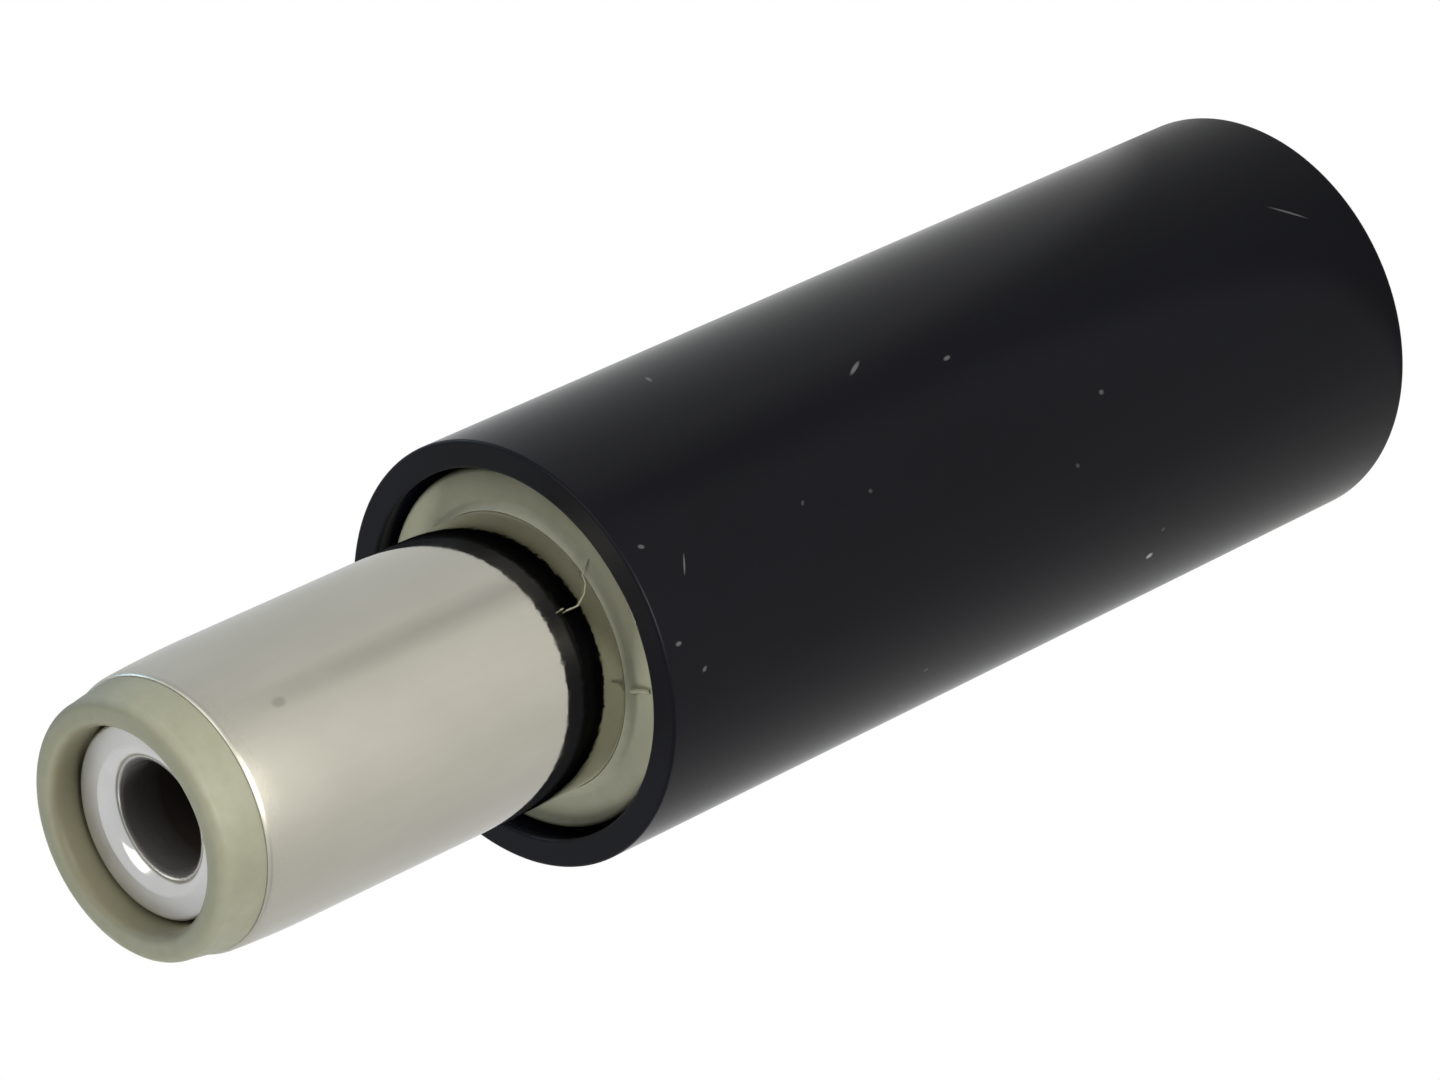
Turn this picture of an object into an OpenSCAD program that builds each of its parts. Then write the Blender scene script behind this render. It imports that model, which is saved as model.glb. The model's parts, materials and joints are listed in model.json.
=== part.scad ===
// Cable-mounted DC barrel plug: a 5.5 mm barrel round a 2.1 mm socket, with a screw-on handle.
// It stands on the flat rear end of its handle. The origin is the middle of that end and +Z
// runs towards the tip. All sizes are in millimetres.

/* [Handle] */
// Outer diameter of the handle
handle_d = 8.4; // [8.2:0.1:10]
// Length of the handle, rear end to rim
handle_len = 21.2; // [19:0.1:28]
// Thickness of the rear wall
rear_wall = 1.2; // [0.8:0.1:2]
// Diameter of the cable hole in the rear wall
cable_hole_d = 4.4; // [3:0.1:5]
// Rounding of the rear edge
rear_edge_r = 0.1; // [0.1:0.05:0.6]
// Rounding of the rim at the mouth
rim_edge_r = 0.06; // [0.05:0.01:0.2]
// Width of the rim round the mouth
rim_w = 0.55; // [0.45:0.01:0.65]

/* [Barrel] */
// Outer diameter of the barrel
barrel_d = 5.5; // [5.3:0.05:5.7]
// Wall of the barrel tube
barrel_wall = 0.4; // [0.38:0.01:0.45]
// Length from the handle's rim to the tip of the nose
barrel_reach = 9.65; // [9:0.05:14]
// Step down behind the shoulder that stops the barrel against the collar
barrel_step = 0.2; // [0.18:0.01:0.24]
// Length over which the front of the barrel is drawn in
taper_len = 1.85; // [1:0.05:3]
// How far the front of the barrel is drawn in
taper_depth = 0.07; // [0.04:0.01:0.1]
// Rounding of the barrel's front edge
front_edge_r = 0.22; // [0.21:0.01:0.4]
// Flat left on the barrel's front edge
front_land = 0.02; // [0.01:0.01:0.05]
// How far the rolled lip at the barrel's rear stands out
lip_out = 0.22; // [0.15:0.01:0.3]
// Thickness of the rolled lip
lip_t = 0.25; // [0.15:0.01:0.4]
// Gap between the rolled lip's ends and the terminal's strip, as an angle round the axis
lip_gap_angle = 4; // [2:1:10]
// Diameter of the windows that lock the barrel into the insulator
window_d = 1.6; // [1:0.1:2.4]
// Number of windows
windows = 4; // [2:1:6]

/* [Insulator] */
// Length of the nose in front of the barrel
nose_len = 0.95; // [0.7:0.05:1.4]
// How far the nose's root covers the barrel's front end
nose_ledge = 0.27; // [0.2:0.01:0.3]
// Diameter of the nose at its tip
nose_d = 5.02; // [4.8:0.02:5.04]
// Rounding of the nose's outer edge
nose_edge_r = 0.23; // [0.1:0.01:0.3]
// Rounding of the nose's inner edge
nose_mouth_r = 0.2; // [0.05:0.01:0.22]
// Diameter of the recess in the nose
nose_bore_d = 3.94; // [3.9:0.02:4.1]
// Depth of the recess in the nose
nose_bore_depth = 1.2; // [0.6:0.1:2]
// Depth of the collar's face behind the handle's rim
ring_recess = 0.37; // [0.1:0.01:0.8]
// Thickness of the collar's flange
flange_t = 1.25; // [0.8:0.05:2]
// How far the flange stands out past the threaded boss
flange_lip = 0.35; // [0.2:0.01:0.4]
// Length of the threaded boss
thread_len = 4.5; // [3:0.25:6]
// Width of the groove where the thread runs out
relief_w = 0.4; // [0.2:0.05:0.8]

/* [Centre contact] */
// Outer diameter of the contact
contact_d = 3.78; // [3.6:0.02:3.8]
// Depth of the contact's face behind the tip of the nose
contact_recess = 0.6; // [0.1:0.02:0.8]
// Diameter of the contact's hole
hole_d = 2.15; // [2:0.05:2.6]
// Depth of the contact's straight hole
hole_depth = 9.2; // [7.5:0.1:9.5]
// Rounding of the hole's mouth
lead_in_r = 0.35; // [0.1:0.01:0.4]
// Angle of the cone that the drill leaves at the bottom of the hole
drill_angle = 118; // [90:1:140]
// Rounding of the contact's front edge
contact_edge_r = 0.06; // [0.02:0.01:0.1]
// Metal left behind the hole
floor_t = 1.1; // [0.8:0.05:1.4]
// Diameter of the tail that carries the centre lug
tail_d = 1.8; // [1.4:0.1:2]
// Diameter of the riveted head on the tail
rivet_d = 2.8; // [2.4:0.1:3.2]
// Thickness of the riveted head
rivet_t = 0.35; // [0.2:0.05:0.5]

/* [Terminals] */
// Thickness of the terminals' sheet
sheet_t = 0.35; // [0.25:0.01:0.38]
// Thickness of the insulating washer
washer_t = 1; // [0.6:0.1:1.6]
// Length of the sleeve terminal's strip, ring to bend
strip_len = 4.3; // [2:0.1:5]
// Width of the sleeve terminal's strip, as an angle round the axis
strip_angle = 48; // [36:1:70]
// Length of the strip's inward bend
bend_len = 1.4; // [1:0.1:2]
// Inside diameter of the cable clamp
clamp_d = 3.9; // [3.4:0.1:4.2]
// Length of the cable clamp
clamp_len = 3; // [2:0.1:3.6]
// Angle that the cable clamp wraps, before it is squeezed shut
clamp_wrap = 230; // [180:5:260]
// Rounding of the clamp's claws
claw_r = 0.8; // [0.3:0.1:0.95]
// Diameter of the centre lug's ring
lug_ring_d = 3.4; // [3:0.1:4]
// Width of the centre lug's tongue
lug_w = 1.7; // [1.3:0.1:2.2]
// Length of the centre lug's tongue
lug_len = 4.2; // [2.5:0.1:4.5]
// Distance of the tongue's outer face from the axis
lug_reach = 2.1; // [2:0.05:2.4]
// Inside radius of the lug's bend
lug_bend_r = 0.3; // [0.1:0.05:0.4]
// Rounding of the tongue's end
lug_tip_r = 0.6; // [0.2:0.05:0.62]
// Diameter of the holes that take the wires
wire_hole_d = 0.9; // [0.6:0.1:1.2]

/* [Fits] */
// Gap between pieces that are fixed in one another, on the radius
fixed_gap = 0.02; // [0.01:0.005:0.03]
// Gap between the threaded boss and the handle, on the radius
thread_gap = 0.05; // [0.03:0.01:0.1]
// Gap between the flange and the handle's mouth, on the radius
mouth_gap = 0.1; // [0.05:0.01:0.14]
// Gap between the sleeve terminal and the handle, on the radius
terminal_gap = 0.15; // [0.1:0.01:0.17]
// Gap between the washer and what turns inside or round it, on the radius
washer_gap = 0.05; // [0.03:0.01:0.1]

/* [Hidden] */
$fn = 96;
skin = 0.1;              // how far a cut runs past the surface that it opens
long_arc_fn = 720;       // the taper's circle is large, so it gets finer steps

// Radii, from the barrel outwards
barrel_r = barrel_d / 2;
barrel_in_r = barrel_r - barrel_wall;
tail_tube_r = barrel_r - barrel_step;
tail_wall = tail_tube_r - barrel_in_r;
liner_r = barrel_in_r - fixed_gap;
nose_root_r = barrel_in_r + nose_ledge;
collar_in_r = tail_tube_r + fixed_gap;

// Radii, from the handle inwards
mouth_r = handle_d / 2 - rim_w;
flange_r = mouth_r - mouth_gap;
boss_r = flange_r - flange_lip;
handle_in_r = boss_r + thread_gap;
relief_r = boss_r - (boss_r - collar_in_r) / 3;

// Radii, from the socket outwards
hole_r = hole_d / 2;
contact_r = contact_d / 2;
contact_bore_r = contact_r + fixed_gap;
nose_bore_r = nose_bore_d / 2;
nose_r = nose_d / 2;
tail_r = tail_d / 2;
tail_bore_r = tail_r + fixed_gap;

// Radii of the terminals
ring_r = handle_in_r - terminal_gap;
strip_in_r = ring_r - sheet_t;
washer_r = strip_in_r - 2 * washer_gap;
clamp_in_r = clamp_d / 2;
clamp_out_r = clamp_in_r + sheet_t;

// Heights, from the rim forwards
rim_z = handle_len;
tip_z = rim_z + barrel_reach;
barrel_front_z = tip_z - nose_len;
contact_front_z = tip_z - contact_recess;
hole_bottom_z = contact_front_z - hole_depth;
contact_back_z = hole_bottom_z - floor_t;

// Heights, from the rim backwards
collar_z = rim_z - ring_recess;
shoulder_z = collar_z - flange_t;
boss_back_z = shoulder_z - thread_len;
ring_back_z = boss_back_z - sheet_t;
barrel_back_z = ring_back_z - lip_t;
washer_back_z = barrel_back_z - washer_t;
lug_back_z = washer_back_z - sheet_t;
rivet_back_z = lug_back_z - rivet_t;
bend_front_z = ring_back_z - strip_len;
bend_back_z = bend_front_z - bend_len;
clamp_back_z = bend_back_z - clamp_len;

// The barrel's drawn-in front: an arc tangent to the straight wall, and the edge's arc
// tangent to that one and meeting the flat front land
taper_r = (pow(taper_len, 2) + pow(taper_depth, 2)) / (2 * taper_depth);
taper_turn = asin(taper_len / taper_r);
edge_x = barrel_r - taper_r + (taper_r - front_edge_r) * cos(taper_turn);
land_x = nose_root_r + front_land;
edge_z = barrel_front_z - sqrt(pow(front_edge_r, 2) - pow(land_x - edge_x, 2));
taper_z = edge_z - (taper_r - front_edge_r) * sin(taper_turn);

// What a rounded edge takes off a corner that points along dx and dy
module edge_round(x, y, r, dx, dy) {
    side = r + skin;
    translate([x - dx * r, y - dy * r])
        difference() {
            translate([min(0, dx) * side, min(0, dy) * side]) square(side);
            circle(r);
        }
}

// A rectangle in a turned section, from one radius and height to another
module band(r0, z0, r1, z1) {
    translate([r0, z0]) square([r1 - r0, z1 - z0]);
}

module handle() {
    color("#17181d") rotate_extrude() difference() {
        band(0, 0, handle_d / 2, rim_z);
        band(-skin, -skin, cable_hole_d / 2, rear_wall + skin);
        band(-skin, rear_wall, handle_in_r, rim_z + skin);
        band(-skin, shoulder_z, mouth_r, rim_z + skin);
        edge_round(handle_d / 2, 0, rear_edge_r, 1, -1);
        edge_round(handle_d / 2, rim_z, rim_edge_r, 1, 1);
    }
}

// Moulded round the barrel in one shot: nose and liner inside it, collar and boss outside,
// joined by the pegs that fill the windows
module insulator_body() {
    color("#9b9e82") {
        rotate_extrude() difference() {
            union() {
                nose_section();
                band(0, barrel_back_z, liner_r, barrel_front_z + skin);
                collar_section();
            }
            edge_round(nose_r, tip_z, nose_edge_r, 1, 1);
            edge_round(nose_bore_r, tip_z, nose_mouth_r, -1, 1);
            band(-skin, tip_z - nose_bore_depth, nose_bore_r, tip_z + skin);
            band(-skin, contact_back_z, contact_bore_r, tip_z);
            band(-skin, barrel_back_z - skin, tail_bore_r, tip_z);
        }
        window_rods(liner_r - 2 * skin, collar_in_r + 2 * skin, window_d / 2 - fixed_gap);
    }
}

module nose_section() {
    polygon([
        [0, barrel_front_z],
        [nose_root_r, barrel_front_z],
        [nose_r, tip_z - nose_edge_r],
        [nose_r, tip_z],
        [0, tip_z]
    ]);
}

module collar_section() {
    difference() {
        union() {
            band(collar_in_r, boss_back_z, boss_r, collar_z);
            band(collar_in_r, shoulder_z, flange_r, collar_z);
        }
        band(relief_r, shoulder_z - relief_w, boss_r + skin, shoulder_z);
    }
}

// Radial rods at the windows, half way along the boss
module window_rods(from_r, to_r, r) {
    for (i = [0 : windows - 1])
        rotate([0, 0, (i + 0.5) * 360 / windows])
            translate([from_r, 0, (boss_back_z + shoulder_z) / 2])
                rotate([0, 90, 0]) cylinder(r = r, h = to_r - from_r);
}

module barrel() {
    color("#bdbab0") {
        difference() {
            rotate_extrude() difference() {
                union() {
                    band(0, barrel_back_z, tail_tube_r, taper_z);
                    band(0, collar_z, barrel_r, taper_z);
                    drawn_in_section();
                }
                band(-skin, barrel_back_z - skin, barrel_in_r, tip_z);
            }
            window_rods(0, barrel_r + skin, window_d / 2);
        }
        rolled_lip();
    }
}

// Rolled out over the sleeve terminal's ring, all round apart from its strip
module rolled_lip() {
    difference() {
        rotate_extrude()
            band(tail_tube_r - tail_wall / 2, barrel_back_z, tail_tube_r + lip_out, ring_back_z);
        wedge(strip_angle + 2 * lip_gap_angle);
    }
}

// A wedge about the axis that opens towards -X, where the sleeve terminal's strip runs
module wedge(angle) {
    far = 2 * handle_in_r;
    linear_extrude(tip_z)
        polygon([[0, 0], [-far, far * tan(angle / 2)], [-far, -far * tan(angle / 2)]]);
}

module drawn_in_section() {
    difference() {
        intersection() {
            band(0, taper_z - skin, barrel_r, barrel_front_z);
            translate([barrel_r - taper_r, taper_z]) circle(taper_r, $fn = long_arc_fn);
        }
        translate([edge_x, edge_z]) difference() {
            square(front_edge_r + skin);
            circle(front_edge_r);
        }
    }
}

// Turned socket with a rounded mouth, a drilled hole and a tail riveted over the centre lug
module centre_contact() {
    color("#cfd0cc") rotate_extrude() difference() {
        union() {
            band(0, contact_back_z, contact_r, contact_front_z);
            band(0, rivet_back_z, tail_r, contact_back_z + skin);
            difference() {
                band(0, rivet_back_z, rivet_d / 2, lug_back_z);
                edge_round(rivet_d / 2, rivet_back_z, rivet_t / 2, 1, -1);
            }
        }
        edge_round(contact_r, contact_front_z, contact_edge_r, 1, 1);
        edge_round(hole_r, contact_front_z, lead_in_r, -1, 1);
        band(-skin, hole_bottom_z, hole_r, contact_front_z + skin);
        polygon([
            [0, hole_bottom_z - hole_r / tan(drill_angle / 2)],
            [hole_r, hole_bottom_z],
            [0, hole_bottom_z + skin]
        ]);
    }
}

// Insulating washer that keeps the centre lug off the barrel
module rear_insulator() {
    color("#b9a784") translate([0, 0, washer_back_z]) difference() {
        cylinder(r = washer_r, h = washer_t);
        translate([0, 0, -skin]) cylinder(r = tail_r + washer_gap, h = washer_t + 2 * skin);
    }
}

// Sheet lug riveted to the contact's tail, with its tongue bent back along the cable
module centre_terminal() {
    color("#c8c6bd") difference() {
        union() {
            translate([0, 0, lug_back_z]) cylinder(d = lug_ring_d, h = sheet_t);
            rotate([90, 0, 0]) linear_extrude(lug_w, center = true) lug_side_view();
        }
        translate([0, 0, lug_back_z - skin]) cylinder(r = tail_bore_r, h = sheet_t + 2 * skin);
        translate([lug_reach, 0, lug_back_z - lug_len + lug_w / 2])
            rotate([0, 90, 0]) cylinder(d = wire_hole_d, h = 4 * sheet_t, center = true);
        translate([lug_reach - 2 * sheet_t, 0, 0]) rotate([90, 0, 90])
            linear_extrude(3 * sheet_t) {
                edge_round(lug_w / 2, lug_back_z - lug_len, lug_tip_r, 1, -1);
                edge_round(-lug_w / 2, lug_back_z - lug_len, lug_tip_r, -1, -1);
            }
    }
}

module lug_side_view() {
    inner_x = lug_reach - sheet_t;
    difference() {
        union() {
            band(0, lug_back_z, lug_reach, washer_back_z);
            band(inner_x, lug_back_z - lug_len, lug_reach, washer_back_z);
            edge_round(inner_x, lug_back_z, lug_bend_r, 1, 1);
        }
        edge_round(lug_reach, washer_back_z, lug_bend_r + sheet_t, 1, 1);
    }
}

// Ring held by the barrel's rolled lip, curved strip, and the two claws of the cable clamp,
// all folded from one sheet
module sleeve_terminal() {
    color("#c8c6bd") difference() {
        union() {
            rotate_extrude() band(collar_in_r, ring_back_z, ring_r, boss_back_z);
            intersection() {
                rotate_extrude() strip_section();
                wedge(strip_angle);
            }
            clamp_claws();
        }
        translate([-ring_r, 0, (ring_back_z + bend_front_z) / 2])
            rotate([0, 90, 0]) cylinder(d = wire_hole_d, h = 4 * sheet_t, center = true);
    }
}

// Its two ends are pointed, and the points lie inside the ring and the clamp
module strip_section() {
    polygon([
        [ring_r, ring_back_z],
        [ring_r, bend_front_z],
        [clamp_out_r, bend_back_z],
        [clamp_out_r - sheet_t / 2, bend_back_z - skin],
        [clamp_in_r, bend_back_z],
        [strip_in_r, bend_front_z],
        [strip_in_r, ring_back_z],
        [ring_r - sheet_t / 2, ring_back_z + skin]
    ]);
}

module clamp_claws() {
    claw_tip_x = -clamp_out_r * cos(clamp_wrap / 2);
    intersection() {
        rotate_extrude() band(clamp_in_r, clamp_back_z, clamp_out_r, bend_back_z);
        rotate([90, 0, 0]) linear_extrude(3 * clamp_out_r, center = true) difference() {
            band(-2 * clamp_out_r, clamp_back_z - skin, claw_tip_x, bend_back_z + skin);
            edge_round(claw_tip_x, clamp_back_z, claw_r, 1, -1);
            edge_round(claw_tip_x, bend_back_z, claw_r, 1, 1);
        }
    }
}

handle();
insulator_body();
barrel();
centre_contact();
rear_insulator();
centre_terminal();
sleeve_terminal();
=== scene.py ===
# Dc barrel plug, stood on the flat rear end of its handle with its tip up. The sections follow
# the way such a plug is put together: the drawn barrel, the moulding shot round it, the turned
# contact pressed in, the washer and the two terminals at the back, and the screw-on handle.
# Outlines are written in millimetres from the axis and from the rear end of the handle.
import json
import math
import bmesh
import bpy
from mathutils import Matrix, Vector


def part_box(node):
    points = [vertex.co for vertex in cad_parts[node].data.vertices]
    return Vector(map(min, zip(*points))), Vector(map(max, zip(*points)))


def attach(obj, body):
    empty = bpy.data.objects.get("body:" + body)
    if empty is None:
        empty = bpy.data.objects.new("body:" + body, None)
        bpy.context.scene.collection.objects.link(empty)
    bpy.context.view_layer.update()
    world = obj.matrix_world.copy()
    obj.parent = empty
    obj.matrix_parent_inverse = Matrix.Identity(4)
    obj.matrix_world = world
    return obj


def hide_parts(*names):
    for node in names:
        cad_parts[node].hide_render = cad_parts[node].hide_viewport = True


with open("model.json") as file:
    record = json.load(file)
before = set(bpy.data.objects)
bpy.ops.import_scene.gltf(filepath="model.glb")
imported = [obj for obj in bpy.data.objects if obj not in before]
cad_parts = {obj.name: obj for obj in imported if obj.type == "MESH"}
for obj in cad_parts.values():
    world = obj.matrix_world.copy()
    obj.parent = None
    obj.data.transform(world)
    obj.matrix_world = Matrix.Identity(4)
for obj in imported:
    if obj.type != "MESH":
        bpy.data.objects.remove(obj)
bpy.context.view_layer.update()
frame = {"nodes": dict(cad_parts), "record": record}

# --- Barrel: the outer contact, a deep-drawn brass tube plated with nickel ---
# Its front end is drawn in and rounded over, its rear end is rolled out into a lip, and four
# windows low down are filled by the moulding, which locks the two together.

# MM is a millimetre in the frame's metres, and EDGE the rounding that even a sharp edge has.
MM = 0.001
EDGE = 0.02
RING_RECESS, FLANGE_T, BOSS_LEN = 0.37, 1.25, 4.5
MOUNTS = {mount["name"]: mount for mount in frame["record"]["mounts"]}
RIM_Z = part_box("handle")[1].z / MM
TIP_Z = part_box("insulator_body")[1].z / MM
BARREL_BACK_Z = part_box("barrel")[0].z / MM
BARREL_FRONT_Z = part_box("barrel")[1].z / MM
COLLAR_Z = RIM_Z - RING_RECESS
SHOULDER_Z = COLLAR_Z - FLANGE_T
BOSS_BACK_Z = SHOULDER_Z - BOSS_LEN
BARREL_R = MOUNTS["barrel"]["dims"]["r_mm"]
TUBE_R, BARREL_BORE_R = 2.55, 2.35
LIP_R, LIP_T, LIP_ROOT_R = 2.77, 0.25, 2.45
LIP_GAP = math.radians(56)
WINDOWS, WINDOW_R = 4, 0.8
WINDOW_Z = (SHOULDER_Z + BOSS_BACK_Z) / 2


def fillet_corner(before, corner, after, radius, steps=8):
    """The points of an arc of that radius which is tangent to both sides of a corner."""
    to_before = (before - corner).normalized()
    to_after = (after - corner).normalized()
    half = to_before.angle(to_after) / 2
    if radius == 0 or half > math.pi / 2 - 1e-4:
        return [corner]
    centre = corner + (to_before + to_after).normalized() * radius / math.sin(half)
    start = corner + to_before * radius / math.tan(half) - centre
    sweep = math.pi - 2 * half
    if start.cross(corner - centre) < 0:
        sweep = -sweep
    arc = []
    for step in range(steps + 1):
        turn = Matrix.Rotation(sweep * step / steps, 2)
        arc.append(centre + turn @ start)
    return arc


def outline(corners, guard=0.03):
    """Rounds the corners of a closed outline of (radius, height, rounding) in millimetres.
    Each long side gets a point close to either end, which keeps the gloss on it flat."""
    rounded = []
    for index, (x, z, rounding) in enumerate(corners):
        before = Vector(corners[index - 1][:2])
        after = Vector(corners[(index + 1) % len(corners)][:2])
        rounded += fillet_corner(before, Vector((x, z)), after, rounding)
    points = []
    for index, point in enumerate(rounded):
        following = rounded[(index + 1) % len(rounded)]
        side = following - point
        points.append(point)
        if side.length > 4 * guard:
            points.append(point + side.normalized() * guard)
            points.append(following - side.normalized() * guard)
    return points


def as_object(name, body):
    """Turns finished mesh data into an object of that name in the scene."""
    bmesh.ops.recalc_face_normals(body, faces=body.faces)
    mesh = bpy.data.meshes.new(name)
    body.to_mesh(mesh)
    body.free()
    piece = bpy.data.objects.new(name, mesh)
    bpy.context.collection.objects.link(piece)
    return piece


def turned(name, points, steps=256):
    """A solid of revolution about the plug's axis, closed at the axis where it reaches it."""
    body = bmesh.new()
    rings = []
    for radius, z in points:
        if radius < 1e-6:
            rings.append([body.verts.new((0, 0, z * MM))] * steps)
            continue
        ring = []
        for step in range(steps):
            angle = 2 * math.pi * step / steps
            x = radius * MM * math.cos(angle)
            y = radius * MM * math.sin(angle)
            ring.append(body.verts.new((x, y, z * MM)))
        rings.append(ring)
    for index, ring in enumerate(rings):
        inner = rings[index - 1]
        for step in range(steps):
            beside = (step + 1) % steps
            corners = [inner[step], inner[beside], ring[beside], ring[step]]
            face = list(dict.fromkeys(corners))
            if len(face) > 2:
                body.faces.new(face)
    return as_object(name, body)


def barrel_front(taper_len=1.85, taper_depth=0.07, edge_r=0.22, land_r=2.64, steps=16):
    """The drawn-in front: a long arc tangent to the wall, and then the edge's own arc."""
    taper_r = (taper_len ** 2 + taper_depth ** 2) / (2 * taper_depth)
    taper_turn = math.asin(taper_len / taper_r)
    edge_x = BARREL_R - taper_r + (taper_r - edge_r) * math.cos(taper_turn)
    edge_turn = math.acos((land_r - edge_x) / edge_r)
    edge_z = BARREL_FRONT_Z - edge_r * math.sin(edge_turn)
    taper_z = edge_z - (taper_r - edge_r) * math.sin(taper_turn)
    points = []
    for step in range(steps + 1):
        turn = taper_turn * step / steps
        x = BARREL_R - taper_r + taper_r * math.cos(turn)
        points.append((x, taper_z + taper_r * math.sin(turn), 0))
    for step in range(1, steps + 1):
        turn = taper_turn + (edge_turn - taper_turn) * step / steps
        x = edge_x + edge_r * math.cos(turn)
        points.append((x, edge_z + edge_r * math.sin(turn), 0))
    return points


def wedge(name, angle, low, high, reach=6.0):
    """A three-sided prism with one edge on the axis, which opens towards -X."""
    body = bmesh.new()
    side = reach * math.tan(angle / 2)
    corners = [(0, 0), (-reach, side), (-reach, -side)]
    bottom = [body.verts.new((x * MM, y * MM, low * MM)) for x, y in corners]
    top = [body.verts.new((x * MM, y * MM, high * MM)) for x, y in corners]
    body.faces.new(bottom)
    body.faces.new(top)
    for index in range(3):
        body.faces.new([bottom[index - 1], bottom[index], top[index], top[index - 1]])
    return as_object(name, body)


def rod(name, radius, start, end, steps=64):
    """A plain round rod between two points in millimetres."""
    start, end = Vector(start) * MM, Vector(end) * MM
    along = end - start
    turn = along.to_track_quat("Z", "Y").to_matrix().to_4x4()
    body = bmesh.new()
    bmesh.ops.create_cone(
        body, cap_ends=True, segments=steps, radius1=radius * MM, radius2=radius * MM,
        depth=along.length, matrix=Matrix.Translation((start + end) / 2) @ turn,
    )
    return as_object(name, body)


def window_rods(radius, from_r, to_r):
    """One rod through each window, to cut it or to fill it."""
    rods = []
    for index in range(WINDOWS):
        angle = 2 * math.pi * (index + 0.5) / WINDOWS
        x, y = math.cos(angle), math.sin(angle)
        start, end = (from_r * x, from_r * y, WINDOW_Z), (to_r * x, to_r * y, WINDOW_Z)
        rods.append(rod(f"window_rod_{index}", radius, start, end))
    return rods


def combine(piece, tool, operation):
    """Cuts the tool out of the piece, or welds it on, and clears the tool away."""
    modifier = piece.modifiers.new(operation, "BOOLEAN")
    modifier.operation = operation
    modifier.solver = "EXACT"
    modifier.object = tool
    depsgraph = bpy.context.evaluated_depsgraph_get()
    mesh = bpy.data.meshes.new_from_object(piece.evaluated_get(depsgraph))
    piece.modifiers.clear()
    piece.data = mesh
    bpy.data.objects.remove(tool)


barrel = turned("barrel_shell", outline([
    (BARREL_BORE_R, BARREL_BACK_Z, EDGE),
    (TUBE_R, BARREL_BACK_Z, EDGE),
    (TUBE_R, COLLAR_Z, EDGE),
    (BARREL_R, COLLAR_Z, 0.03),
    *barrel_front(),
    (BARREL_BORE_R, BARREL_FRONT_Z, EDGE),
]))
rolled_lip = turned("rolled_lip", outline([
    (LIP_ROOT_R, BARREL_BACK_Z, 0),
    (LIP_R, BARREL_BACK_Z, 0.08),
    (LIP_R, BARREL_BACK_Z + LIP_T, EDGE),
    (LIP_ROOT_R, BARREL_BACK_Z + LIP_T, 0),
]))
combine(rolled_lip, wedge("lip_gap", LIP_GAP, 0, TIP_Z), "DIFFERENCE")
combine(barrel, rolled_lip, "UNION")
for window_rod in window_rods(WINDOW_R, from_r=1.5, to_r=3.2):
    combine(barrel, window_rod, "DIFFERENCE")

NICKEL_WARM, NICKEL_PALE = (0.560, 0.545, 0.475), (0.600, 0.580, 0.510)
NICKEL_RUBBED, NICKEL_STAINED = (0.515, 0.50, 0.44), (0.36, 0.34, 0.29)


def new_material(name):
    """A material, and the place on the piece in millimetres, on which its patterns are laid."""
    material = bpy.data.materials.new(name)
    material.use_nodes = True
    nodes, links = material.node_tree.nodes, material.node_tree.links
    place = nodes.new("ShaderNodeTexCoord")
    scale = nodes.new("ShaderNodeVectorMath")
    scale.operation = "SCALE"
    scale.inputs["Scale"].default_value = 1 / MM
    links.new(place.outputs["Object"], scale.inputs[0])
    return material, scale.outputs[0]


def feed(material, name, value):
    """Sets an input of the shader to a value that holds all over, or to a pattern."""
    socket = material.node_tree.nodes["Principled BSDF"].inputs[name]
    if isinstance(value, bpy.types.NodeSocket):
        material.node_tree.links.new(value, socket)
    else:
        socket.default_value = value


def grain(material, place, stretch, scale, detail=3.0, roughness=0.55):
    """Noise whose grain is drawn out or squeezed along the three axes, per millimetre."""
    nodes, links = material.node_tree.nodes, material.node_tree.links
    mapping = nodes.new("ShaderNodeMapping")
    mapping.inputs["Scale"].default_value = stretch
    links.new(place, mapping.inputs["Vector"])
    noise = nodes.new("ShaderNodeTexNoise")
    noise.inputs["Scale"].default_value = scale
    noise.inputs["Detail"].default_value = detail
    noise.inputs["Roughness"].default_value = roughness
    links.new(mapping.outputs["Vector"], noise.inputs["Vector"])
    return noise.outputs["Fac"]


def spread(material, pattern, low, high, from_low=0.3, from_high=0.7):
    """Maps a pattern from its usual middle range onto the values that a finish needs."""
    nodes, links = material.node_tree.nodes, material.node_tree.links
    node = nodes.new("ShaderNodeMapRange")
    node.inputs["From Min"].default_value = from_low
    node.inputs["From Max"].default_value = from_high
    node.inputs["To Min"].default_value = low
    node.inputs["To Max"].default_value = high
    links.new(pattern, node.inputs["Value"])
    return node.outputs["Result"]


def arithmetic(material, operation, first, second):
    """One Math node. Either side may be a number or the output of another node."""
    nodes, links = material.node_tree.nodes, material.node_tree.links
    node = nodes.new("ShaderNodeMath")
    node.operation = operation
    for value, socket in ((first, node.inputs[0]), (second, node.inputs[1])):
        if isinstance(value, (int, float)):
            socket.default_value = value
        else:
            links.new(value, socket)
    return node.outputs[0]


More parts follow.
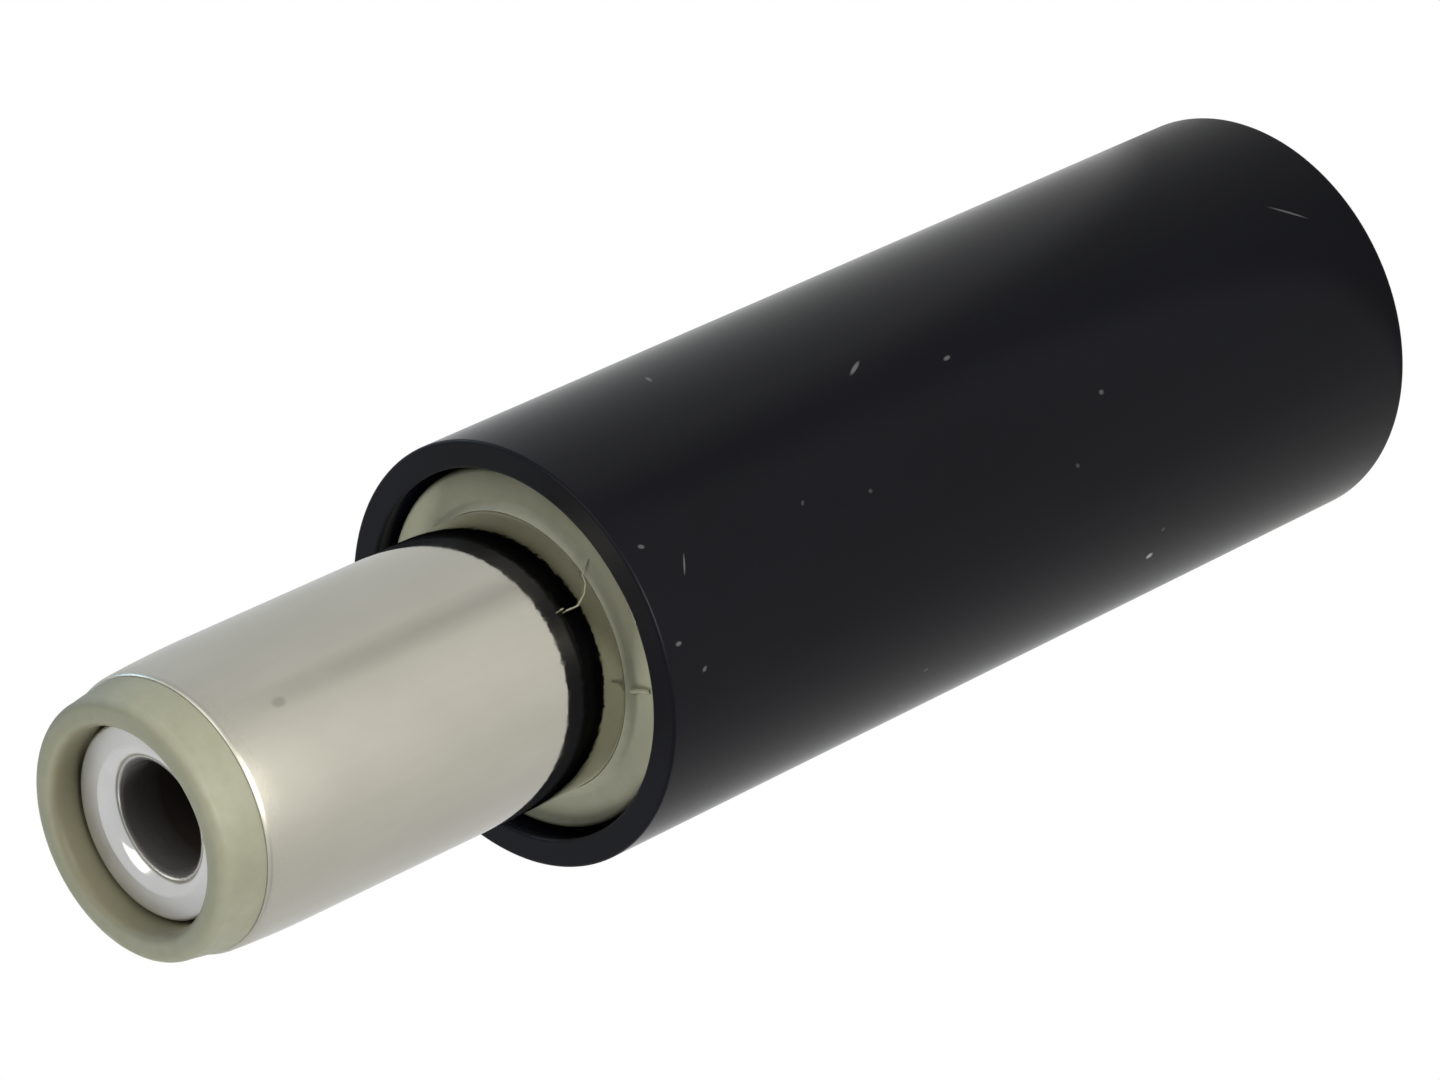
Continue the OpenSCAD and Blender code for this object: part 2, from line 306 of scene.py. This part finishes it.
def two_tone(material, factor, first, second):
    """A colour that goes from the first to the second as the factor goes from 0 to 1.
    Either may be a plain colour or the output of another node. A Mix node has one set of
    sockets for each kind of data, and its colours are inputs 6 and 7 and output 2."""
    nodes, links = material.node_tree.nodes, material.node_tree.links
    mix = nodes.new("ShaderNodeMix")
    mix.data_type = "RGBA"
    links.new(factor, mix.inputs[0])
    for colour, socket in ((first, mix.inputs[6]), (second, mix.inputs[7])):
        if isinstance(colour, tuple):
            socket.default_value = (*colour, 1)
        else:
            links.new(colour, socket)
    return mix.outputs[2]


def height_at(material, place):
    """How high a place is above the rear end, in millimetres."""
    nodes, links = material.node_tree.nodes, material.node_tree.links
    parts = nodes.new("ShaderNodeSeparateXYZ")
    links.new(place, parts.inputs[0])
    return parts.outputs["Z"]


def spot(material, place, wall_r, angle, z, half_width, half_length, tilt, strength):
    """A soft oval mark on a round wall, at an angle and a height, leaning by the tilt."""
    nodes, links = material.node_tree.nodes, material.node_tree.links
    turn = math.radians(angle)
    half_depth = 0.3
    mapping = nodes.new("ShaderNodeMapping")
    mapping.vector_type = "TEXTURE"
    mapping.inputs["Location"].default_value = (
        wall_r * math.cos(turn), wall_r * math.sin(turn), z)
    mapping.inputs["Rotation"].default_value = (math.radians(tilt), 0, turn)
    mapping.inputs["Scale"].default_value = (half_depth, half_width, half_length)
    links.new(place, mapping.inputs["Vector"])
    reach = nodes.new("ShaderNodeVectorMath")
    reach.operation = "LENGTH"
    links.new(mapping.outputs["Vector"], reach.inputs[0])
    return spread(material, reach.outputs["Value"], strength, 0, 0.5, 1.0)


def relief(material, pattern, depth, under=None):
    """Fine relief: depth is how far high places stand above low ones, in millimetres."""
    nodes, links = material.node_tree.nodes, material.node_tree.links
    bump = nodes.new("ShaderNodeBump")
    bump.inputs["Distance"].default_value = depth * MM
    links.new(pattern, bump.inputs["Height"])
    if under is not None:
        links.new(under, bump.inputs["Normal"])
    return bump.outputs["Normal"]


# Plugging in rubs the plating lengthwise and dulls its front edge. A small brown stain sits
# near the front, and the tube is slightly uneven close to its root.
nickel, nickel_place = new_material("barrel_nickel_plate")
feed(nickel, "Metallic", 1.0)
rub_marks = grain(nickel, nickel_place, (1, 1, 0.045), scale=9.0, detail=5.0, roughness=0.6)
clouds = grain(nickel, nickel_place, (1, 1, 0.45), scale=0.9)
fine_marks = grain(nickel, nickel_place, (1, 1, 0.12), scale=34.0)
dents = grain(nickel, nickel_place, (1, 1, 0.5), scale=7.0, detail=2.0)
height = height_at(nickel, nickel_place)

stain = spot(
    nickel, nickel_place, BARREL_R, angle=-69, z=BARREL_FRONT_Z - 1.4,
    half_width=0.13, half_length=0.19, tilt=0, strength=0.6)
tone = two_tone(nickel, spread(nickel, clouds, 0, 1), NICKEL_WARM, NICKEL_PALE)
tone = two_tone(nickel, spread(nickel, rub_marks, 0, 0.2), tone, NICKEL_RUBBED)
tone = two_tone(nickel, stain, tone, NICKEL_STAINED)
feed(nickel, "Base Color", tone)

wear = arithmetic(nickel, "MULTIPLY", rub_marks, clouds)
wall_gloss = spread(nickel, wear, 0.04, 0.085, from_low=0.15, from_high=0.35)
edge_wear = spread(nickel, height, 0, 0.32, BARREL_FRONT_Z - 0.7, BARREL_FRONT_Z - 0.05)
feed(nickel, "Roughness", arithmetic(nickel, "ADD", wall_gloss, edge_wear))

near_root = spread(nickel, height, 1, 0, COLLAR_Z + 0.8, COLLAR_Z + 2.2)
marks = relief(nickel, fine_marks, depth=0.0002)
marks = relief(nickel, rub_marks, depth=0.0005, under=marks)
marks = relief(nickel, arithmetic(nickel, "MULTIPLY", near_root, dents), depth=0.004, under=marks)
feed(nickel, "Normal", marks)


def finish_piece(piece, material, sharp_angle=math.radians(32)):
    """Smooths the piece up to its sharp corners and gives it its material."""
    piece.data.shade_smooth()
    piece.data.set_sharp_from_angle(angle=sharp_angle)
    piece.data.materials.clear()
    piece.data.materials.append(material)


finish_piece(barrel, nickel)
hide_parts("barrel")
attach(barrel, "plug_insert")

# --- Insulator: one olive nylon moulding, shot round the barrel ---
# The nose shows at the tip and the collar shows inside the handle's mouth. Behind the collar
# the boss carries the male thread, right-handed, on which the handle is screwed.
NOSE_R, NOSE_ROOT_R, NOSE_BORE_R, NOSE_BORE_DEPTH = 2.51, 2.62, 1.97, 1.2
NOSE_EDGE, NOSE_MOUTH_EDGE = 0.22, 0.2
LINER_R, CONTACT_BORE_R, TAIL_BORE_R = 2.33, 1.91, 0.92
CONTACT_RECESS, SOCKET_DEPTH, SOCKET_FLOOR = 0.6, 9.2, 1.1
CONTACT_BACK_Z = TIP_Z - CONTACT_RECESS - SOCKET_DEPTH - SOCKET_FLOOR
FLANGE_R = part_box("insulator_body")[1].x / MM
BOSS_R, COLLAR_BORE_R, ROOT_FILLET = 3.2, 2.57, 0.17
RELIEF_R = BOSS_R - (BOSS_R - COLLAR_BORE_R) / 3
THREAD_PITCH, THREAD_ROOT_R = 0.75, 3.06
LEAD_IN_R, LEAD_IN_LEN, RUN_OUT_LEN = 3.0, 0.15, 0.4
THREAD_FROM_Z, THREAD_TO_Z = BOSS_BACK_Z + LEAD_IN_LEN, SHOULDER_Z - RUN_OUT_LEN


def thread_form(angle, z, end_height, root_flat=0.18, flank_width=0.5, fade=0.35):
    """How far up its flank the thread is here, 0 at the root and 1 at the crest. The crest
    climbs one pitch for each turn to the left, so that the thread is right-handed."""
    phase = (z / THREAD_PITCH - angle / (2 * math.pi)) % 1
    flank = 1 - abs(2 * phase - 1)
    height = min(1, max(0, (flank - root_flat) / flank_width))
    from_end = min(1, max(0, min(z - THREAD_FROM_Z, THREAD_TO_Z - z) / fade))
    return end_height + (height - end_height) * from_end


def cut_thread(piece, root_r, crest_r, wall_r, end_height):
    """Cuts the thread into the plain wall of that radius, on rings added to it. The wall's
    two rings at the ends of the thread have to be there already."""
    body = bmesh.new()
    body.from_mesh(piece.data)
    for vertex in body.verts:
        radius = math.hypot(vertex.co.x, vertex.co.y)
        z = vertex.co.z / MM
        if abs(radius / MM - wall_r) > 0.005:
            continue
        if THREAD_FROM_Z - 1e-4 < z < THREAD_TO_Z + 1e-4:
            angle = math.atan2(vertex.co.y, vertex.co.x)
            height = thread_form(angle, z, end_height)
            new_r = (root_r + (crest_r - root_r) * height) * MM
            vertex.co.x *= new_r / radius
            vertex.co.y *= new_r / radius
    bmesh.ops.recalc_face_normals(body, faces=body.faces)
    body.to_mesh(piece.data)
    body.free()


def thread_rings(radius, from_z, to_z, steps_per_pitch=20):
    """Close rings up or down the wall, for a thread to be cut on them."""
    count = round(abs(to_z - from_z) / THREAD_PITCH * steps_per_pitch)
    return [(radius, from_z + (to_z - from_z) * step / count, 0) for step in range(count + 1)]


insulator = turned("insulator_moulding", outline([
    (TAIL_BORE_R, BARREL_BACK_Z, 0.05),
    (LINER_R, BARREL_BACK_Z, 0.05),
    (LINER_R, BARREL_FRONT_Z, 0),
    (NOSE_ROOT_R, BARREL_FRONT_Z, 0.01),
    (NOSE_R, TIP_Z - NOSE_EDGE - 0.01, 0),
    (NOSE_R, TIP_Z, NOSE_EDGE),
    (NOSE_BORE_R, TIP_Z, NOSE_MOUTH_EDGE),
    (NOSE_BORE_R, TIP_Z - NOSE_BORE_DEPTH, 0.03),
    (CONTACT_BORE_R, TIP_Z - NOSE_BORE_DEPTH, EDGE),
    (CONTACT_BORE_R, CONTACT_BACK_Z, EDGE),
    (TAIL_BORE_R, CONTACT_BACK_Z, EDGE),
]))
collar = turned("collar", outline([
    (COLLAR_BORE_R, BOSS_BACK_Z, 0.03),
    (LEAD_IN_R, BOSS_BACK_Z, 0),
    (BOSS_R, THREAD_FROM_Z, 0),
    *thread_rings(BOSS_R, THREAD_FROM_Z + 0.01, THREAD_TO_Z - 0.01),
    (BOSS_R, THREAD_TO_Z, 0),
    (RELIEF_R, THREAD_TO_Z + 0.05, EDGE),
    (RELIEF_R, SHOULDER_Z, 0.1),
    (FLANGE_R, SHOULDER_Z, 0.06),
    (FLANGE_R, COLLAR_Z, 0.1),
    (BARREL_R + ROOT_FILLET, COLLAR_Z, 0.1),
    (BARREL_R + 0.005, COLLAR_Z + ROOT_FILLET, 0.01),
    (BARREL_R + 0.005, COLLAR_Z, 0),
    (COLLAR_BORE_R, COLLAR_Z, 0.04),
]))
cut_thread(collar, root_r=THREAD_ROOT_R, crest_r=BOSS_R, wall_r=BOSS_R, end_height=0)
combine(insulator, collar, "UNION")
for window_rod in window_rods(WINDOW_R - 0.02, from_r=2.1, to_r=2.75):
    combine(insulator, window_rod, "UNION")

# Two burrs are left on the collar's face: a low ridge of flash, and a fine hair that stands up
# beside the barrel. Each point gives distance from the axis, angle and height above the face.
FLASH_R, HAIR_R = 0.045, 0.012
FLASH_PATH = ((2.84, -122.5, 0.08), (3.0, -121.7, 0.025), (3.25, -121, 0.0))
HAIR_PATH = (
    (2.95, -70, 0.0), (2.8, -73.5, 0.21), (2.79, -77, 0.26), (2.79, -80.5, 0.42),
    (2.79, -83.3, 0.66), (2.79, -83.8, 0.84), (2.79, -83, 1.0), (2.79, -81.5, 1.13),
)


def join(piece, extra):
    """Adds a closed shape to the piece where it lies, and clears the extra object away."""
    body = bmesh.new()
    body.from_mesh(piece.data)
    body.from_mesh(extra.data)
    body.to_mesh(piece.data)
    body.free()
    bpy.data.objects.remove(extra)


for burr_r, path in ((FLASH_R, FLASH_PATH), (HAIR_R, HAIR_PATH)):
    corners = []
    for radius, angle, rise in path:
        turn = math.radians(angle)
        corners.append((radius * math.cos(turn), radius * math.sin(turn), COLLAR_Z + rise))
    for start, end in zip(corners, corners[1:]):
        join(insulator, rod("burr", burr_r, start, end, steps=12))

OLIVE_DARK, OLIVE_PALE = (0.333, 0.341, 0.255), (0.382, 0.389, 0.295)
OLIVE_FLOW, OLIVE_PAINTED_SHADE = (0.292, 0.300, 0.218), (0.15, 0.125, 0.055)


def from_axis(material, place):
    """How far a place is from the plug's axis, in millimetres."""
    nodes, links = material.node_tree.nodes, material.node_tree.links
    flat = nodes.new("ShaderNodeVectorMath")
    flat.operation = "MULTIPLY"
    flat.inputs[1].default_value = (1, 1, 0)
    links.new(place, flat.inputs[0])
    length = nodes.new("ShaderNodeVectorMath")
    length.operation = "LENGTH"
    links.new(flat.outputs[0], length.inputs[0])
    return length.outputs["Value"]


# The resin is cloudy, streaked by its flow, and lets a little light in. On the wall of the
# nose's recess its colour darkens to brown, as painted shade.
olive, olive_place = new_material("insulator_nylon")
feed(olive, "Subsurface Weight", 0.25)
feed(olive, "Subsurface Radius", (1.0, 0.9, 0.5))
feed(olive, "Subsurface Scale", 0.4 * MM)
clouds = grain(olive, olive_place, (1, 1, 1), scale=0.7)
flow = grain(olive, olive_place, (1, 1, 1), scale=3.2, detail=5.0, roughness=0.6)
skin = grain(olive, olive_place, (1, 1, 1), scale=22.0)

# Painted shade: the wall of the nose's recess is darkened towards brown in the colour.
recess_painted_shade = spread(
    olive, from_axis(olive, olive_place), 0.6, 0, NOSE_BORE_R + 0.01, NOSE_BORE_R + 0.12)
tone = two_tone(olive, spread(olive, clouds, 0, 1), OLIVE_DARK, OLIVE_PALE)
tone = two_tone(olive, spread(olive, flow, 0, 0.4), tone, OLIVE_FLOW)
feed(olive, "Base Color", two_tone(olive, recess_painted_shade, tone, OLIVE_PAINTED_SHADE))
feed(olive, "Roughness", spread(olive, flow, 0.5, 0.62))
marks = relief(olive, skin, depth=0.001)
feed(olive, "Normal", relief(olive, flow, depth=0.006, under=marks))

finish_piece(insulator, olive)
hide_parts("insulator_body")
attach(insulator, "plug_insert")

# --- Centre contact: a socket turned from brass bar and plated bright, pressed in ---
# The tool leaves faint rings on its face, the mouth is rounded to lead the pin in, and the
# tail at the back is riveted over the centre lug.
CONTACT_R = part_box("centre_contact")[1].x / MM
CONTACT_FRONT_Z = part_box("centre_contact")[1].z / MM
RIVET_BACK_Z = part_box("centre_contact")[0].z / MM
SOCKET_R = MOUNTS["centre_socket"]["dims"]["r_mm"]
SOCKET_MOUTH_EDGE = 0.35
SOCKET_BOTTOM_Z = CONTACT_FRONT_Z - SOCKET_DEPTH
DRILL_POINT = SOCKET_R / math.tan(math.radians(118 / 2))
TAIL_R, RIVET_R, RIVET_T = 0.9, 1.4, 0.35
contact = turned("centre_contact_socket", outline([
    (0, RIVET_BACK_Z, 0),
    (RIVET_R, RIVET_BACK_Z, 0.16),
    (RIVET_R, RIVET_BACK_Z + RIVET_T, EDGE),
    (TAIL_R, RIVET_BACK_Z + RIVET_T, EDGE),
    (TAIL_R, CONTACT_BACK_Z, 0.04),
    (CONTACT_R, CONTACT_BACK_Z, 0.05),
    (CONTACT_R, CONTACT_FRONT_Z, 0.06),
    (SOCKET_R, CONTACT_FRONT_Z, SOCKET_MOUTH_EDGE),
    (SOCKET_R, SOCKET_BOTTOM_Z, EDGE),
    (0, SOCKET_BOTTOM_Z - DRILL_POINT, 0),
]))

# The pins that go in keep the mouth polished. Down the bore a brown painted shade darkens the
# colour, and the surface is duller.
BRIGHT_GREY, BRIGHT_PALE = (0.76, 0.755, 0.74), (0.80, 0.795, 0.78)
BORE_PAINTED_SHADE = (0.12, 0.10, 0.085)
bright, bright_place = new_material("contact_bright_nickel")
feed(bright, "Metallic", 0.8)
nodes, links = bright.node_tree.nodes, bright.node_tree.links
tool_rings = nodes.new("ShaderNodeTexWave")
tool_rings.wave_type = "RINGS"
tool_rings.rings_direction = "Z"
tool_rings.inputs["Scale"].default_value = 4.5
tool_rings.inputs["Distortion"].default_value = 0.4
links.new(bright_place, tool_rings.inputs["Vector"])
clouds = grain(bright, bright_place, (1, 1, 1), scale=1.8, detail=4.0)
pits = grain(bright, bright_place, (1, 1, 1), scale=14.0)
height = height_at(bright, bright_place)

# Painted shade: deeper in the bore the colour darkens to brown, and the roughness rises there
# too.
bore_shade_and_dulling = spread(bright, height, 1, 0, CONTACT_FRONT_Z - 1.2, CONTACT_FRONT_Z - 0.3)
tone = two_tone(bright, spread(bright, clouds, 0, 1), BRIGHT_GREY, BRIGHT_PALE)
feed(bright, "Base Color", two_tone(bright, bore_shade_and_dulling, tone, BORE_PAINTED_SHADE))

from_middle = from_axis(bright, bright_place)
polish = spread(bright, from_middle, 0.4, 1, SOCKET_R + 0.3, SOCKET_R + 0.4)
face_gloss = arithmetic(bright, "MULTIPLY", spread(bright, clouds, 0.36, 0.44), polish)
bore_gloss = arithmetic(bright, "MULTIPLY", bore_shade_and_dulling, 0.5)
feed(bright, "Roughness", arithmetic(bright, "MAXIMUM", face_gloss, bore_gloss))
marks = relief(bright, tool_rings.outputs["Fac"], depth=0.0003)
feed(bright, "Normal", relief(bright, pits, depth=0.0003, under=marks))

finish_piece(contact, bright)
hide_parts("centre_contact")
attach(contact, "plug_insert")

# --- Rear washer: pressed insulating board between the barrel's end and the centre lug ---
# It is a round disc whose edge shows the layers of the board, and it is clamped when the
# contact's tail is riveted. Its CAD solid is shown as it is, in a material of its own.
BOARD_DARK, BOARD_PALE, BOARD_LAYER = (0.24, 0.15, 0.07), (0.43, 0.31, 0.17), (0.19, 0.12, 0.06)
board, board_place = new_material("washer_pressed_board")
fibres = grain(board, board_place, (1, 1, 0.3), scale=6.0, detail=6.0, roughness=0.65)
layers = grain(board, board_place, (0.2, 0.2, 9), scale=2.0, detail=2.0)
tone = two_tone(board, spread(board, fibres, 0, 1), BOARD_DARK, BOARD_PALE)
feed(board, "Base Color", two_tone(board, spread(board, layers, 0, 0.4), tone, BOARD_LAYER))
feed(board, "Roughness", spread(board, fibres, 0.6, 0.8))
feed(board, "Normal", relief(board, fibres, depth=0.01))


def dress(node, material):
    """Gives a CAD solid that is shown as it is the material it is made of."""
    solid = frame["nodes"][node].data
    solid.materials.clear()
    solid.materials.append(material)


dress("rear_insulator", board)

# --- Terminals: the centre lug and the sleeve's strip with its cable clamp ---
# Both are cut and folded from brass sheet, tinned all over so that they take solder. Tin is
# duller and softer than nickel, and shows the rolling direction and a few smeared places.
TIN_GREY, TIN_PALE = (0.56, 0.55, 0.51), (0.70, 0.69, 0.66)
tin, tin_place = new_material("terminal_tinned_sheet")
feed(tin, "Metallic", 1.0)
rolling = grain(tin, tin_place, (1, 1, 0.08), scale=11.0, detail=5.0, roughness=0.6)
smears = grain(tin, tin_place, (1, 1, 1), scale=0.8, detail=4.0)
feed(tin, "Base Color", two_tone(tin, spread(tin, smears, 0, 1), TIN_GREY, TIN_PALE))
feed(tin, "Roughness", spread(tin, smears, 0.3, 0.5))
marks = relief(tin, rolling, depth=0.002)
feed(tin, "Normal", relief(tin, smears, depth=0.01, under=marks))
dress("centre_terminal", tin)
dress("sleeve_terminal", tin)

# --- Handle: a plain black moulded shell, screwed on from behind over the cable ---
# It is closed at the rear but for the cable's hole. The wall is thinnest at the mouth, where
# the collar sits, and the female thread is moulded on the bore right behind it.
HANDLE_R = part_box("handle")[1].x / MM
MOUTH_R, HANDLE_BORE_R, FEMALE_CREST_R = 3.65, 3.25, 3.125
CABLE_HOLE_R = MOUNTS["cable_entry"]["dims"]["r_mm"]
REAR_WALL, REAR_EDGE, RIM_EDGE, HOLE_EDGE = 1.2, 0.1, 0.06, 0.06
handle = turned("handle_shell", outline([
    (CABLE_HOLE_R, 0, HOLE_EDGE),
    (HANDLE_R, 0, REAR_EDGE),
    (HANDLE_R, RIM_Z, RIM_EDGE),
    (MOUTH_R, RIM_Z, RIM_EDGE),
    (MOUTH_R, SHOULDER_Z, 0.04),
    (HANDLE_BORE_R, SHOULDER_Z, 0.03),
    *thread_rings(HANDLE_BORE_R, THREAD_TO_Z, THREAD_FROM_Z),
    (HANDLE_BORE_R, REAR_WALL, 0.1),
    (CABLE_HOLE_R, REAR_WALL, HOLE_EDGE),
]))
cut_thread(
    handle, root_r=FEMALE_CREST_R, crest_r=HANDLE_BORE_R, wall_r=HANDLE_BORE_R, end_height=1)

# The resin is glossy, smudged by fingers and duller on the rim. Each nick or speck has its
# angle, its height, half its width and half its length, its lean, and how pale it is.
BLACK_DEEP, BLACK_SMUDGED = (0.0020, 0.0022, 0.0044), (0.0028, 0.0030, 0.0058)
NICK_GREY = (0.32, 0.32, 0.33)
NICKS = (
    (-146, 7.5, 0.08, 0.11, 0, 1.0),
    (-58.6, 13.6, 0.05, 0.28, 25, 0.35),
    (-67, 11.6, 0.05, 0.12, 10, 0.3),
    (-69.3, 1.6, 0.03, 0.49, -40, 0.3),
    (-87.5, 20.0, 0.025, 0.24, 60, 0.3),
    (-105, 20.8, 0.05, 0.09, 0, 0.3),
    (-114, 20.3, 0.05, 0.08, 30, 0.25),
    (-79, 20.7, 0.05, 0.09, -20, 0.25),
    (-31, 17.15, 0.05, 0.16, 70, 0.3),
    (-92.5, 8.6, 0.06, 0.08, 0, 0.2),
    (-138, 7.3, 0.05, 0.07, 0, 0.15),
    (-148, 13.95, 0.05, 0.07, 20, 0.15),
    (-162, 14.1, 0.06, 0.08, 0, 0.2),
    (-86, 16.75, 0.04, 0.07, 40, 0.12),
    (-90.5, 15.1, 0.05, 0.06, 0, 0.12),
    (-107.6, 9.8, 0.05, 0.07, -30, 0.12),
)
black, black_place = new_material("handle_black_plastic")
feed(black, "Specular IOR Level", 0.135)
smudges = grain(black, black_place, (1, 1, 0.35), scale=0.55, detail=4.0)
skin = grain(black, black_place, (1, 1, 1), scale=26.0)
rubbing = grain(black, black_place, (1, 1, 0.06), scale=12.0, detail=5.0, roughness=0.6)

nicked = 0
for nick in NICKS:
    nicked = arithmetic(black, "MAXIMUM", nicked, spot(black, black_place, HANDLE_R, *nick))
tone = two_tone(black, spread(black, smudges, 0, 1), BLACK_DEEP, BLACK_SMUDGED)
feed(black, "Base Color", two_tone(black, nicked, tone, NICK_GREY))

rim_dulling = spread(black, height_at(black, black_place), 0, 0.25, RIM_Z - 0.1, RIM_Z - 0.04)
wall_gloss = spread(black, smudges, 0.10, 0.15)
feed(black, "Roughness", arithmetic(black, "ADD", wall_gloss, rim_dulling))
marks = relief(black, skin, depth=0.0008)
feed(black, "Normal", relief(black, rubbing, depth=0.001, under=marks))

finish_piece(handle, black)
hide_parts("handle")
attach(handle, "handle")

# --- Table: a plain sheet of white paper under the plug ---
# To the eye it is pure white. The metal mirrors the paper as it is lit, shadow and all, with
# a little of that white added.
MIRRORED_WHITE = 0.05
floor_body = bmesh.new()
bmesh.ops.create_grid(floor_body, x_segments=1, y_segments=1, size=1.5)
floor = as_object("table", floor_body)
paper = bpy.data.materials.new("white_paper")
paper.use_nodes = True
feed(paper, "Base Color", (0.8, 0.8, 0.8, 1))
feed(paper, "Roughness", 0.9)
feed(paper, "Specular IOR Level", 0)
nodes, links = paper.node_tree.nodes, paper.node_tree.links
sight = nodes.new("ShaderNodeLightPath")
seen_white = sight.outputs["Is Camera Ray"]
for way in ("Is Glossy Ray", "Is Transmission Ray"):
    mirrored_white = arithmetic(paper, "MULTIPLY", sight.outputs[way], MIRRORED_WHITE)
    seen_white = arithmetic(paper, "MAXIMUM", seen_white, mirrored_white)
plain_white = nodes.new("ShaderNodeEmission")
plain_white.inputs["Strength"].default_value = 1.0
blend = nodes.new("ShaderNodeMixShader")
links.new(seen_white, blend.inputs[0])
links.new(nodes["Principled BSDF"].outputs[0], blend.inputs[1])
links.new(plain_white.outputs[0], blend.inputs[2])
links.new(blend.outputs[0], nodes["Material Output"].inputs["Surface"])
floor.data.materials.append(paper)

# --- Studio: soft boxes round the plug, in a pale room ---
# The key box stands high behind the plug, and the high box above it on the right. Two small
# ones, low in front and at the side, lighten its flanks. Metal mirrors the room's pale walls.
PLUG_MIDDLE = Vector((0, 0, 16 * MM))
ROOM_LIGHT, ROOM_MIRRORED = 0.04, 0.72


def soft_box(name, place, size, power, colour=(1, 1, 1), mirrored=True):
    """A square soft lamp that faces the middle of the plug."""
    lamp = bpy.data.lights.new(name, "AREA")
    lamp.size = size
    lamp.energy = power
    lamp.color = colour
    stand = bpy.data.objects.new(name, lamp)
    stand.visible_glossy = mirrored
    stand.location = place
    stand.rotation_euler = (Vector(place) - PLUG_MIDDLE).to_track_quat("Z", "Y").to_euler()
    bpy.context.collection.objects.link(stand)


soft_box("key_box", (-0.173, 0.173, 0.188), size=0.08, power=0.60, mirrored=False)
soft_box("high_box", (0.116, -0.081, 0.157), size=0.15, power=0.13, colour=(1.0, 0.98, 0.95))
soft_box("front_box", (-0.016, -0.116, 0.041), size=0.03, power=0.105, colour=(1.0, 0.97, 0.90))
soft_box("side_box", (0.102, 0.059, 0.041), size=0.03, power=0.024, colour=(0.55, 0.78, 1.0))
room = bpy.data.worlds.new("pale_room")
bpy.context.scene.world = room
room.use_nodes = True
background = room.node_tree.nodes["Background"]
background.inputs["Color"].default_value = (0.97, 0.985, 1.0, 1)
sight = room.node_tree.nodes.new("ShaderNodeLightPath")
mirrored_room = arithmetic(room, "MULTIPLY", sight.outputs["Is Glossy Ray"], ROOM_MIRRORED)
room_strength = arithmetic(room, "MAXIMUM", mirrored_room, ROOM_LIGHT)
room.node_tree.links.new(room_strength, background.inputs["Strength"])

# --- Camera: a long lens above the tip, looking down the plug at a slant ---
# It is rolled so that the plug lies across the picture with its tip at the lower left, and
# placed so that the nose's mouth comes to a chosen spot in the camera's own axes.
ELEVATION, ROLL, LENS_MM = math.radians(40.84), math.radians(-114.8), 188.9
MOUTH_Z = TIP_Z - 0.073
MOUTH_IN_VIEW = Vector((-0.010467, -0.005179, -0.13393))
camera_data = bpy.data.cameras.new("camera")
camera_data.sensor_width = 36
camera_data.lens = LENS_MM
camera_data.clip_start = 0.01
camera = bpy.data.objects.new("camera", camera_data)
bpy.context.collection.objects.link(camera)
turn = Matrix.Rotation(math.pi / 2 - ELEVATION, 4, "X") @ Matrix.Rotation(ROLL, 4, "Z")
camera_place = Vector((0, 0, MOUTH_Z * MM)) - turn @ MOUTH_IN_VIEW
camera.matrix_world = Matrix.Translation(camera_place) @ turn
bpy.context.scene.camera = camera
bpy.context.scene.view_settings.view_transform = "Standard"
